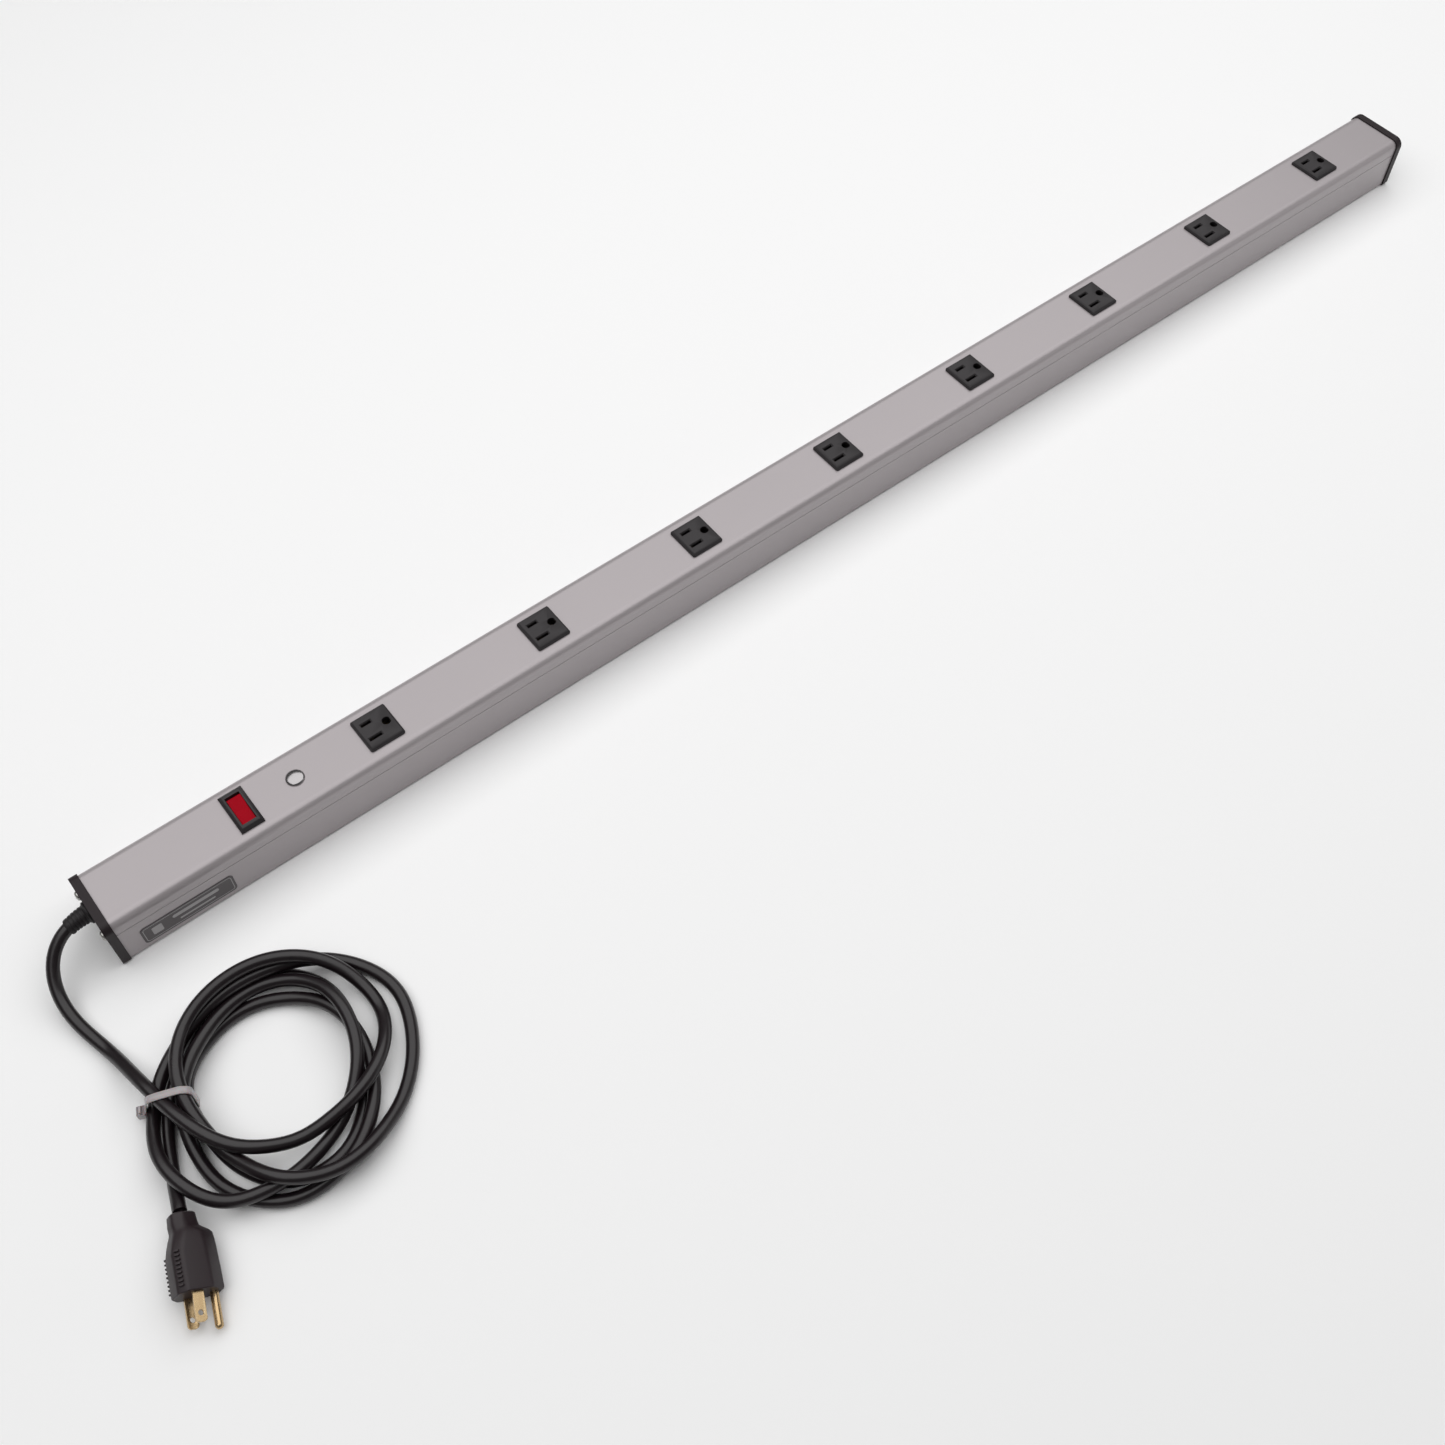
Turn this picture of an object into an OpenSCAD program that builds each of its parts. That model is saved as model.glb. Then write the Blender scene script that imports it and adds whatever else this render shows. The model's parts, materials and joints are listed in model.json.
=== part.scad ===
// Eight-outlet metal power strip with a lighted rocker switch and a coiled, tied power cord.
// Frame: X along the bar (cord end at -X), Y across it (label side at -Y), Z up.
// The origin is the centre of the housing's underside.

/* [Housing] */
// Overall length over both end caps
bar_length = 1220; // [1160:5:1300]
// Width of the metal housing
bar_width = 48; // [46:0.5:52]
// Height of the metal housing
bar_height = 44; // [44:0.5:48]
// Sheet thickness of the base and the cover
wall = 1.6; // [1.2:0.1:1.8]
// Height of the seam between the base and the cover
seam_height = 32.2; // [32:0.1:33]
// Width of the seam groove
seam_gap = 0.4; // [0.2:0.1:0.6]
// Outer radius of the cover's long edges
cover_radius = 6; // [3:0.5:7]
// Outer radius of the base's long edges
base_radius = 3; // [2:0.5:5]

/* [End caps] */
// Thickness of each end cap
cap_thickness = 6; // [5:0.5:8]
// How far a cap stands proud of the housing's sides and top
cap_proud = 1.2; // [0.6:0.1:1.6]
// Corner radius of a cap
cap_radius = 7; // [4:0.5:8]
// Distance of a cap screw from the middle plane
screw_y = 17.5; // [17:0.1:18]
// Height of a cap screw above the underside
screw_z = 30; // [29.5:0.1:30]
// Radius of a cap screw's head
screw_head_r = 3.3; // [2.8:0.1:3.6]
// Height of a cap screw's head
screw_head_h = 2.2; // [1.8:0.1:2.6]

/* [Outlets] */
// Distance between neighbouring outlets
outlet_pitch = 132; // [120:1:134]
// X of the first outlet's centre
first_outlet_x = -400; // [-402:1:-390]
// Distance of each blade slot from the outlet's middle plane
blade_offset = 6.35; // [6.3:0.01:6.4]
// X of the blade slots' centre from the outlet's centre
slot_x = -4.8; // [-5:0.1:-4.6]
// X of the ground hole's centre from the outlet's centre
ground_x = 7.1; // [6.9:0.1:7.3]
// Radius of the ground hole
ground_hole_r = 3.1; // [3:0.05:3.2]

/* [Switch] */
// X of the switch's centre
switch_x = -501; // [-504:1:-498]
// Length of the rocker's swing from one stop to the other, in degrees
rocker_swing = 18; // [14:1:20]
// Height of the rocker's pivot axis
pivot_z = 39; // [38.5:0.1:39]
// Radius of the rocker's moulded pivot studs
pivot_r = 1.25; // [1.1:0.05:1.4]

/* [Cord] */
// Diameter of the cord
cord_d = 8.4; // [8:0.1:8.8]
// Height of the cord's exit above the underside
exit_z = 34; // [33.5:0.1:34]
// Height of the coil over the floor
coil_height = 27; // [26:0.5:30]

/* [Hidden] */
outlet_count = 8;
outlets = [for (i = [0 : outlet_count - 1]) first_outlet_x + i * outlet_pitch];
$fn = 48;
eps = 0.01;

// housing
half_w = bar_width / 2;
inner_w = half_w - wall;
housing_end = bar_length / 2 - cap_thickness;
cap_end = bar_length / 2;
base_top = seam_height - seam_gap / 2;
cover_bottom = seam_height + seam_gap / 2;
fit = 0.1;
rail_in = 20.8;
rail_low = 26;
rail_top = 36.6;
port_r = 3.4;
port_bore_r = 1.45;
port_slit = 1;
thread_r = 1.35;
screw_len = 14;
screw_hole_r = 1.7;
spigot_z = 13.7;
spigot_h = 23.4;
spigot_len = 8;
spigot_wall = 2;
tongue_w = 30;
tongue_t = 1.1;
gland_r = 6;
mount_hole_x = 500;
mount_hole_r = 2.5;
ground_screw_x = -585;
ground_screw_y = 12;
hole_plug_x = -462;
hole_plug_r = 4.8;
dome_r = 9.2;
dome_rise = 2.5;
label_at = [-559.5, -half_w, 14.8];
label_size = [65, 17.6];
label_r = 3;
liner_t = 0.5;
tongue_top = bar_height - wall - 0.2;

// outlets
face_x = 24.8;
face_y = 27.2;
flange_x = 26;
flange_y = 28.5;
hot_slot = 7.6;
neutral_slot = 9.4;
slot_w = 2.4;
lead_in = 0.6;
face_top = bar_height + 3;
flange_top = bar_height + 1.2;
body_x = 23.6;
body_y = 26;
back_top = 20.4;
back_t = 3;
chamber_top = face_top - 2.6;
strip_t = 0.8;
strip_w = 5.2;
ground_strip_w = 4.4;
clip_foot = 1.6;
bus_start = -424;
clip_top = 38;
cover_hole_x = 24.2;
cover_hole_y = 26.6;
cover_hole_r = 0.8;

// switch
bezel_x = 16.6;
bezel_y = 32.3;
bezel_top = bar_height + 3;
opening_x = 10.2;
opening_y = 23.8;
rocker_w = 9.6;
rocker_end_r = 12.6;
crease_z = 7;
rocker_tilt = rocker_swing / 2;
arm_tilt = -6;
arm_pivot_z = 27.6;
boss_len = 6.5;
plunger_r = 1.22;
plunger_reach = 10;
well_y = 26;
switch_body_x = 14.4;
switch_body_y = 27.8;
switch_low = 22;
switch_floor = 25;
terminal_low = 14;
terminal_y = 10.5;
contact_y = -9;
fulcrum_r = 0.9;

// cord: the route of the lead runs from inside the housing to the tied coil
lead_route = [[-598, 0, 34], [-606, 0, 34], [-614, 0, 34], [-622, -0.2, 33.4], [-629, -1.4, 31.4],
    [-635.8, -4, 28.2], [-641.8, -8.4, 24.2], [-646.4, -14.2, 19.8], [-649.4, -21, 15.4],
    [-650.8, -28, 11.6], [-651.2, -37, 8.4], [-650, -47, 6.2], [-647.6, -57.6, 5],
    [-645, -68, 4.6], [-642.2, -79, 4.6], [-639.6, -90, 4.8], [-637, -101, 5]];
// the short lead runs from the coil up to the plug's collar
plug_route = [[-649, -170, 9], [-651, -176, 10.4], [-653, -184, 13], [-654.6, -191, 15.4],
    [-656, -196.5, 16.6]];
relief_flange_r = 7.6;
relief_len = 15;
coil_x = -568;
coil_y = -152;
coil_r = 78;
coil_shift = 9;
hole_r = 42;
hole_shift = 4;
hole_y = -148;
tie_angle = 155;
tie_dist = 65;
tie_w = 4.8;
tie_t = 1.3;
pinch = 4;
bundle_w = 27;
bundle_h = 26;
bundle_r = 8;
head_low = 12;

// plug, in its own frame: +X towards the blades, +Y towards the ground pin, Z across the blades
plug_at = [-671.5, -238.5, 13.3];
plug_turn = [-34, 4, -110.3];
blade_gap = 12.7;
pin_offset = 11.9;
blade_len = 17;
pin_len = 20.8;
pin_r = 2.38;
back_x = -36;
collar_x = -46;
collar_w = 15.6;
buried = 11.8;

// wires inside the housing, from the cord's cut jacket to the terminals
wire_r = 1.9;
line_route = [[-597.3, 2.1, 35.2], [-594, 2.3, 35], [-589, 3.2, 32], [-584, 3, 25], [-578, 1, 16],
    [-568, -3, 9], [-550, -6, 6], [-530, -5, 6], [-515, -2, 6.4], [-506, -0.5, 7.2], [-502, 0, 9.2],
    [-501, 0, 11.6], [-501, 0, 13.9]];
load_route = [[-501, -10.5, 13.9], [-501, -10.5, 12], [-500, -10.5, 9.8], [-494, -10, 8], [-482, -4, 8],
    [-466, 2, 9.5], [-450, 5.4, 10], [-438, 6.4, 12.5], [-428, 6.4, 16.8], [-420, 6.4, 18.4]];
neutral_route = [[-597.3, -2.1, 35.2], [-594, -2.6, 34.8], [-589, -6, 31], [-584, -11, 22],
    [-577, -15, 12], [-565, -16, 6], [-540, -16, 5], [-510, -17, 5], [-480, -16, 5], [-460, -12, 6],
    [-445, -8, 8.6], [-436, -6.4, 13], [-428, -6.4, 17], [-420, -6.4, 18.4]];
ground_route = [[-597.1, 0, 31.6], [-595, 0.6, 30.6], [-592.6, 3, 26], [-591.8, 7, 18],
    [-592.8, 11, 11], [-593, 12, 7], [-591.4, 12, 4.2]];
jumper_route = [[-578.6, 12, 4.2], [-572, 13, 5], [-555, 15, 5], [-530, 16, 5], [-505, 16, 5],
    [-480, 14, 4.6], [-462, 9, 4.2], [-452, 5, 4.2], [-444, 1.6, 5.6], [-437, 0, 10], [-428, 0, 16.6],
    [-420, 0, 18.4]];

// ---- shared shapes ----

// Rectangle with round corners, centred
module round_rect(w, h, r) {
    square([w - 2 * r, h], center = true);
    square([w, h - 2 * r], center = true);
    for (sx = [-1, 1], sy = [-1, 1])
        translate([sx * (w / 2 - r), sy * (h / 2 - r)]) circle(r);
}

// Extrusion along X of a profile drawn in Y and Z, from x0 to x1
module along_x(x0, x1) {
    translate([x0, 0, 0]) rotate([90, 0, 90]) linear_extrude(x1 - x0) children();
}

// Extrusion along Y of a profile drawn in X and Z, from y0 to y1
module along_y(y0, y1) {
    translate([0, y1, 0]) rotate([90, 0, 0]) linear_extrude(y1 - y0) children();
}

// Block given by its ends on each axis
module block(x0, x1, y0, y1, z0, z1) {
    translate([x0, y0, z0]) cube([x1 - x0, y1 - y0, z1 - z0]);
}

// Block whose four sides lean in to a smaller top: a wide foot, then a bevel
module bevelled_block(wx, wy, z0, z1, bevel) {
    intersection() {
        along_y(-wy, wy) bevel_profile(wx, z0, z1, bevel);
        along_x(-wx, wx) bevel_profile(wy, z0, z1, bevel);
    }
}
module bevel_profile(w, z0, z1, bevel) {
    polygon([[-w / 2, z0], [w / 2, z0], [w / 2, z1 - bevel], [w / 2 - bevel, z1],
        [bevel - w / 2, z1], [-w / 2, z1 - bevel]]);
}

// Tube swept along the points of a route: one closed surface, with a ring square to the route at each point
function unit(v) = v / norm(v);
function route_dir(p, i) =
    i == 0 ? unit(p[1] - p[0]) :
    i == len(p) - 1 ? unit(p[i] - p[i - 1]) :
    unit(unit(p[i + 1] - p[i]) + unit(p[i] - p[i - 1]));
function first_side(d) = unit(cross(d, abs(d[2]) < 0.9 ? [0, 0, 1] : [1, 0, 0]));
function sides(p, i = 0, last = undef, out = []) =
    i == len(p) ? out :
    let (d = route_dir(p, i),
        s = i == 0 ? first_side(d) : unit(last - (last * d) * d))
    sides(p, i + 1, s, concat(out, [s]));
function ring(c, d, s, r, n) =
    let (t = cross(d, s)) [for (k = [0 : n - 1]) c + r * (cos(360 * k / n) * s + sin(360 * k / n) * t)];
module tube(p, r, n) {
    side = sides(p);
    points = [for (i = [0 : len(p) - 1]) each ring(p[i], route_dir(p, i), side[i], r, n)];
    last = (len(p) - 1) * n;
    polyhedron(points, concat(
        [[for (k = [0 : n - 1]) k]],
        [[for (k = [n - 1 : -1 : 0]) last + k]],
        [for (i = [0 : len(p) - 2], k = [0 : n - 1]) let (j = (k + 1) % n)
            each [[i * n + k, (i + 1) * n + k, (i + 1) * n + j],
                [i * n + k, (i + 1) * n + j, i * n + j]]]),
        convexity = 6);
}

// ---- housing ----

module base_profile() {
    // floor and side walls, round at the bottom
    difference() {
        union() {
            translate([-half_w, base_radius]) square([bar_width, base_top - base_radius]);
            translate([base_radius - half_w, 0]) square([bar_width - 2 * base_radius, 2 * base_radius]);
            for (s = [-1, 1]) translate([s * (half_w - base_radius), base_radius]) circle(base_radius);
        }
        translate([-inner_w, wall]) square([2 * inner_w, bar_height]);
    }
    // on each side: the rail that carries the cover, and the open screw port
    for (s = [0, 1]) mirror([s, 0]) {
        translate([rail_in, rail_low]) square([inner_w - rail_in + eps, base_top - rail_low]);
        translate([rail_in, base_top - eps]) square([inner_w - fit - rail_in, rail_top - base_top]);
        translate([screw_y + port_r - 0.8, screw_z - 1]) square([rail_in - screw_y - port_r + 1.3, 2]);
        translate([screw_y, screw_z]) difference() {
            circle(port_r);
            circle(port_bore_r);
            translate([-port_r - 1, -port_slit / 2]) square([port_r + 1, port_slit]);
        }
    }
}

module base_channel() {
    color("silver") difference() {
        along_x(-housing_end, housing_end) base_profile();
        for (s = [-1, 1]) translate([s * mount_hole_x, 0, -1]) cylinder(r = mount_hole_r, h = wall + 2);
        translate([ground_screw_x, ground_screw_y, -1]) cylinder(r = screw_hole_r, h = wall + 2);
    }
}

module cover_profile() {
    difference() {
        cover_outline(half_w, bar_height, cover_radius);
        cover_outline(inner_w, bar_height - wall, cover_radius - wall);
    }
}
module cover_outline(half, top, r) {
    intersection() {
        union() {
            translate([-half, 0]) square([2 * half, top - r]);
            translate([r - half, 0]) square([2 * (half - r), top]);
            for (s = [-1, 1]) translate([s * (half - r), top - r]) circle(r);
        }
        translate([-half - 1, cover_bottom]) square([2 * half + 2, top]);
    }
}

module top_cover() {
    color("silver") difference() {
        along_x(-housing_end, housing_end) cover_profile();
        for (x = outlets)
            translate([x, 0, bar_height - 3]) linear_extrude(6)
                round_rect(cover_hole_x, cover_hole_y, cover_hole_r);
        translate([switch_x, 0, bar_height - 3]) linear_extrude(6)
            square([switch_body_x + 0.6, switch_body_y + 0.6], center = true);
        translate([hole_plug_x, 0, bar_height - 3]) cylinder(r = hole_plug_r, h = 6);
    }
}

// Outline of a cap in Y and Z: flat at the bottom, round at the top corners
module cap_outline() {
    half = half_w + cap_proud;
    top = bar_height + cap_proud;
    translate([-half, base_radius]) square([2 * half, top - cap_radius - base_radius]);
    translate([cap_radius - half, base_radius]) square([2 * (half - cap_radius), top - base_radius]);
    translate([base_radius - half, 0]) square([2 * (half - base_radius), 2 * base_radius]);
    for (s = [-1, 1]) {
        translate([s * (half - cap_radius), top - cap_radius]) circle(cap_radius);
        translate([s * (half - base_radius), base_radius]) circle(base_radius);
    }
}

// Cap for the +X end: an outer plate, a spigot in the base and a tongue under the cover
module end_cap(exit_hole) {
    difference() {
        union() {
            along_x(housing_end, cap_end) cap_outline();
            along_x(housing_end - spigot_len, housing_end + eps) translate([0, spigot_z]) difference() {
                square([2 * inner_w - 0.6, spigot_h], center = true);
                square([2 * (inner_w - spigot_wall) - 0.6, spigot_h - 2 * spigot_wall], center = true);
            }
            block(housing_end - 6, housing_end + eps, -tongue_w / 2, tongue_w / 2,
                tongue_top - tongue_t, tongue_top);
        }
        for (s = [-1, 1]) translate([housing_end - 1, s * screw_y, screw_z])
            rotate([0, 90, 0]) cylinder(r = screw_hole_r, h = cap_thickness + 2);
        if (exit_hole) translate([housing_end - 1, 0, exit_z]) rotate([0, 90, 0])
            cylinder(r = gland_r + 0.2, h = cap_thickness + 2);
    }
}

module far_end_cap() {
    color("dimgray") end_cap(false);
}
module cord_end_cap() {
    color("dimgray") mirror([1, 0, 0]) end_cap(true);
}

// Pan-head screw with a cross recess, its head's underside at x = 0 and its shank towards -X
module cap_screw() {
    rotate([0, 90, 0]) {
        difference() {
            rotate_extrude() polygon([[0, 0], [screw_head_r, 0], [screw_head_r, screw_head_h * 0.35],
                [screw_head_r * 0.86, screw_head_h * 0.7], [screw_head_r * 0.55, screw_head_h * 0.92],
                [0, screw_head_h]]);
            for (a = [0, 90]) rotate([0, 0, a])
                block(-1.9, 1.9, -0.4, 0.4, screw_head_h - 1.2, screw_head_h + 1);
        }
        translate([0, 0, -screw_len]) cylinder(r = thread_r, h = screw_len + eps);
    }
}

module end_cap_screws() {
    color("gainsboro") for (side = [0, 1], s = [-1, 1])
        mirror([side, 0, 0]) translate([cap_end, s * screw_y, screw_z]) cap_screw();
}

// ---- outlets ----

// One outlet insert, centred on x = 0: face, flange, body with three contact chambers, snap tabs
module receptacle_shape() {
    difference() {
        union() {
            bevelled_block(face_x, face_y, flange_top - eps, face_top, 0.9);
            translate([0, 0, bar_height]) linear_extrude(flange_top - bar_height)
                round_rect(flange_x, flange_y, 1.6);
            block(-body_x / 2, body_x / 2, -body_y / 2, body_y / 2, back_top, bar_height + eps);
            for (s = [0, 1]) mirror([s, 0, 0]) along_y(-3, 3)
                polygon([[body_x / 2 - eps, 42.2], [body_x / 2 + 1, 42.2], [body_x / 2 - eps, 38]]);
        }
        // blade slots with their lead-in recesses; the neutral slot is the longer one
        for (s = [[blade_offset, hot_slot], [-blade_offset, neutral_slot]]) translate([slot_x, s[0], 0]) {
            block(-s[1] / 2, s[1] / 2, -slot_w / 2, slot_w / 2, chamber_top - 1, face_top + 1);
            block(-s[1] / 2 - lead_in, s[1] / 2 + lead_in, -slot_w / 2 - 0.4, slot_w / 2 + 0.4,
                face_top - lead_in, face_top + 1);
        }
        // D-shaped ground hole, flat on the side away from the slots
        intersection() {
            translate([ground_x, 0, chamber_top - 1]) cylinder(r = ground_hole_r, h = 6);
            block(ground_x - 5, ground_x + 2.6, -5, 5, chamber_top - 2, face_top + 2);
        }
        // contact chambers, open below
        for (s = [-1, 1])
            block(-10, 1, s * blade_offset - 3, s * blade_offset + 3, back_top - 1, chamber_top);
        block(2.2, 10.6, -4.4, 4.4, back_top - 1, chamber_top);
        // notches for the three metal strips
        for (strip = [[-blade_offset, strip_w], [0, ground_strip_w], [blade_offset, strip_w]])
            block(-20, 20, strip[0] - strip[1] / 2 - 0.2, strip[0] + strip[1] / 2 + 0.2,
                back_top - 1, back_top + strip_t + 0.1);
    }
}

module receptacle(i) {
    color("dimgray") translate([outlets[i], 0, 0]) receptacle_shape();
}

module receptacle_backs() {
    color("darkslategray") for (x = outlets) difference() {
        block(x - 11.4, x + 11.4, -12.6, 12.6, back_top - back_t, back_top);
        block(x - 8, x + 8, -9, 9, back_top - back_t - 1, back_top - 1.4);
    }
}

// Half of a contact clip: a spring leaf that leans in to the blade and flares at the top
module clip_leaf(gap, x0, x1) {
    foot_z = back_top + strip_t - eps;
    along_x(x0, x1) polygon([[clip_foot, foot_z], [clip_foot + 0.5, foot_z],
        [gap + 0.5, clip_top - 4], [gap + 1.6, clip_top], [gap + 1.1, clip_top], [gap, clip_top - 4]]);
}

// Bus strip along the bar with one clip in each outlet
module bus(y, w, clip_x, clip_half, gap) {
    translate([0, y, 0]) {
        block(bus_start, outlets[outlet_count - 1] + 12, -w / 2, w / 2, back_top, back_top + strip_t);
        for (x = outlets, s = [0, 1]) mirror([0, s, 0])
            clip_leaf(gap, x + clip_x - clip_half, x + clip_x + clip_half);
    }
}
module hot_bus() {
    color("goldenrod") bus(blade_offset, strip_w, slot_x, 3, 0.7);
}
module neutral_bus() {
    color("goldenrod") bus(-blade_offset, strip_w, slot_x, 3, 0.7);
}
module ground_bus() {
    color("goldenrod") bus(0, ground_strip_w, ground_x, 2.2, 2.2);
}

module insulating_liner() {
    color("khaki") block(-440, 590, -19, 19, wall, wall + liner_t);
}

// ---- switch ----

module switch_housing() {
    color("black") translate([switch_x, 0, 0]) difference() {
        union() {
            bevelled_block(bezel_x, bezel_y, bar_height, bezel_top, 1.8);
            translate([0, 0, switch_low]) linear_extrude(bar_height - switch_low + eps)
                square([switch_body_x, switch_body_y], center = true);
            // snap tabs under the cover
            for (s = [0, 1]) mirror([0, s, 0]) translate([0, switch_body_y / 2, 0]) along_x(-4, 4)
                polygon([[-eps, 42.2], [0.9, 42.2], [-eps, 37]]);
        }
        block(-opening_x / 2, opening_x / 2, -opening_y / 2, opening_y / 2, bar_height - 1, bezel_top + 1);
        block(-opening_x / 2, opening_x / 2, -well_y / 2, well_y / 2, switch_floor, bar_height);
        // sockets for the rocker's studs
        translate([-6.8, 0, pivot_z]) rotate([0, 90, 0]) cylinder(r = pivot_r + 0.06, h = 13.6);
        // slots for the terminals
        for (y = [-terminal_y, 0, terminal_y])
            block(-3.3, 3.3, y - 0.45, y + 0.45, switch_low - 1, switch_floor + 1);
    }
}

// Side view of the rocker about its pivot, level: a shallow V on top and round ends
module rocker_profile() {
    intersection() {
        circle(rocker_end_r);
        polygon([[0, crease_z], [13, crease_z + 1.14], [13, -1], [-13, -1], [-13, crease_z + 1.14]]);
    }
}

module at_rocker() {
    translate([switch_x, 0, pivot_z]) rotate([rocker_tilt, 0, 0]) children();
}

module rocker() {
    color("red") at_rocker() {
        difference() {
            union() {
                along_x(-rocker_w / 2, rocker_w / 2) rocker_profile();
                translate([0, 0, -boss_len]) cylinder(r = 2.3, h = boss_len + 0.4);
            }
            // hollows on either side of the plunger's boss
            for (s = [0, 1]) mirror([0, s, 0]) along_x(1 - rocker_w / 2, rocker_w / 2 - 1)
                polygon([[2.9, -2], [2.9, 5.2], [10.6, 5.8], [10.6, -2]]);
            translate([0, 0, -boss_len - 1]) cylinder(r = plunger_r + 0.08, h = boss_len + 5);
        }
        for (s = [0, 1]) mirror([s, 0, 0]) rotate([0, 90, 0])
            translate([0, 0, rocker_w / 2 - 0.1]) cylinder(r = pivot_r, h = 1.9);
    }
}

module plunger() {
    color("white") at_rocker() {
        translate([0, 0, plunger_r - plunger_reach])
            cylinder(r = plunger_r, h = plunger_reach - plunger_r - 1);
        translate([0, 0, plunger_r - plunger_reach]) sphere(plunger_r);
    }
}

spring_route = [for (a = [0 : 40 : 1800]) [0.85 * cos(a), 0.85 * sin(a), -0.7 + 4.4 * a / 1800]];
module plunger_spring() {
    color("silver") at_rocker() tube(spring_route, 0.24, 6);
}

module indicator_lamp() {
    color("orange") at_rocker() translate([0, 3.6, 2.6]) rotate([-90, 0, 0]) {
        cylinder(r = 1.7, h = 5);
        translate([0, 0, 5]) sphere(1.7);
    }
}

// Rocking contact: a bent blade on a round fulcrum that tips over the middle terminal
module contact_arm() {
    color("peru") translate([switch_x, 0, arm_pivot_z]) rotate([arm_tilt, 0, 0]) {
        along_x(-2.4, 2.4) polygon([[0, 0.3], [8.6, 1.1], [11.4, 1.1], [11.4, 1.8], [8.4, 1.8],
            [0, 1.1], [-8.4, 1.8], [-9.4, 1.8], [-9.4, 1.1], [-8.6, 1.1]]);
        translate([-2.4, 0, 0]) rotate([0, 90, 0]) cylinder(r = fulcrum_r, h = 4.8);
        translate([0, contact_y, 0]) cylinder(r = 1.1, h = 1.3);
    }
}

module switch_terminals() {
    color("goldenrod") translate([switch_x, 0, 0]) {
        for (y = [-terminal_y, 0, terminal_y])
            block(-3.15, 3.15, y - 0.4, y + 0.4, terminal_low, switch_floor + 0.2);
        // middle terminal's round cradle, and the seat of the fixed contact
        difference() {
            block(-2.4, 2.4, -1.4, 1.4, switch_floor + 0.02, arm_pivot_z - 0.1);
            translate([-4, 0, arm_pivot_z]) rotate([0, 90, 0]) cylinder(r = fulcrum_r + 0.05, h = 8);
        }
        block(-3.15, 3.15, -10.9, -7.6, switch_floor + 0.02, switch_floor + 0.8);
        translate([0, contact_y, switch_floor + 0.7]) cylinder(r = 1.1, h = 0.7);
    }
}

// ---- small pieces on the housing ----

// Domed button that closes a round hole, with a split spring skirt under the cover
module hole_plug() {
    color("gainsboro") translate([hole_plug_x, 0, bar_height]) {
        difference() {
            translate([0, 0, dome_rise - dome_r]) sphere(dome_r, $fn = 64);
            translate([0, 0, -20]) cylinder(r = 12, h = 20);
            translate([0, 0, dome_rise - dome_r - 1.2]) sphere(dome_r, $fn = 64);
        }
        difference() {
            translate([0, 0, -5]) cylinder(r = hole_plug_r - 0.2, h = 5.6);
            translate([0, 0, -6]) cylinder(r = hole_plug_r - 0.9, h = 9);
            for (a = [0, 60, 120]) rotate([0, 0, a]) block(-6, 6, -0.5, 0.5, -6, -0.5);
        }
    }
}

module label_plate() {
    color("gray") translate(label_at) rotate([90, 0, 0])
        linear_extrude(0.4) round_rect(label_size[0], label_size[1], label_r);
}

module ground_screw() {
    color("limegreen") translate([ground_screw_x, ground_screw_y, 0]) {
        translate([0, 0, 0.3]) cylinder(r = 1.6, h = 3.2);
        difference() {
            translate([0, 0, wall + 1]) cylinder(r = 4, h = 2.2, $fn = 6);
            block(-5, 5, -0.5, 0.5, wall + 2.2, wall + 4);
        }
    }
}

module ground_lug() {
    color("goldenrod") translate([ground_screw_x, ground_screw_y, 0]) {
        difference() {
            union() {
                translate([0, 0, wall]) cylinder(r = 4.6, h = 0.9);
                block(-6.4, 6.4, -1.8, 1.8, wall, wall + 0.9);
            }
            translate([0, 0, wall - 1]) cylinder(r = 1.75, h = 3);
        }
    }
}

// ---- wires inside ----

module line_wire() {
    color("black") tube(line_route, wire_r, 8);
}
module load_wire() {
    color("black") tube(load_route, wire_r, 8);
}
module neutral_wire() {
    color("white") tube(neutral_route, wire_r, 8);
}
module ground_wire() {
    color("green") tube(ground_route, wire_r, 8);
}
module ground_jumper() {
    color("green") tube(jumper_route, wire_r, 8);
}

// ---- cord ----

module strain_relief() {
    color("black") translate([-cap_end, 0, exit_z]) rotate([0, -90, 0]) difference() {
        union() {
            // neck in the cap's hole, snap collar inside, flange and tapered sleeve outside
            translate([0, 0, -cap_thickness - 0.3]) cylinder(r = gland_r, h = cap_thickness + 0.4);
            translate([0, 0, -cap_thickness - 3]) cylinder(r1 = gland_r - 0.4, r2 = gland_r + 0.8, h = 2.8);
            cylinder(r = relief_flange_r, h = 1.6);
            translate([0, 0, 1.5]) cylinder(r1 = 6.8, r2 = 5.2, h = relief_len - 1.5);
        }
        translate([0, 0, -12]) cylinder(d = cord_d, h = 30);
    }
}

module cord_lead() {
    color("black") tube(lead_route, cord_d / 2 - 0.02, 12);
}
module plug_lead() {
    color("black") tube(plug_route, cord_d / 2 - 0.02, 12);
}

module oval(r, shift) {
    for (s = [-1, 1]) translate([s * shift, 0]) circle(r, $fn = 96);
    square([2 * shift, 2 * r], center = true);
}

// Outer shape of the tied coil, pinched under the tie
module cord_coil() {
    color("black") difference() {
        linear_extrude(coil_height) difference() {
            translate([coil_x, coil_y]) oval(coil_r, coil_shift);
            translate([coil_x, hole_y]) oval(hole_r, hole_shift);
        }
        at_tie() difference() {
            block(-30, 30, -pinch, pinch, -1, coil_height + 5);
            translate([0, 0, tie_t + bundle_h / 2]) along_y(-pinch - 1, pinch + 1)
                round_rect(bundle_w - 0.6, bundle_h - 0.6, bundle_r - tie_t);
        }
    }
}

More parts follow.
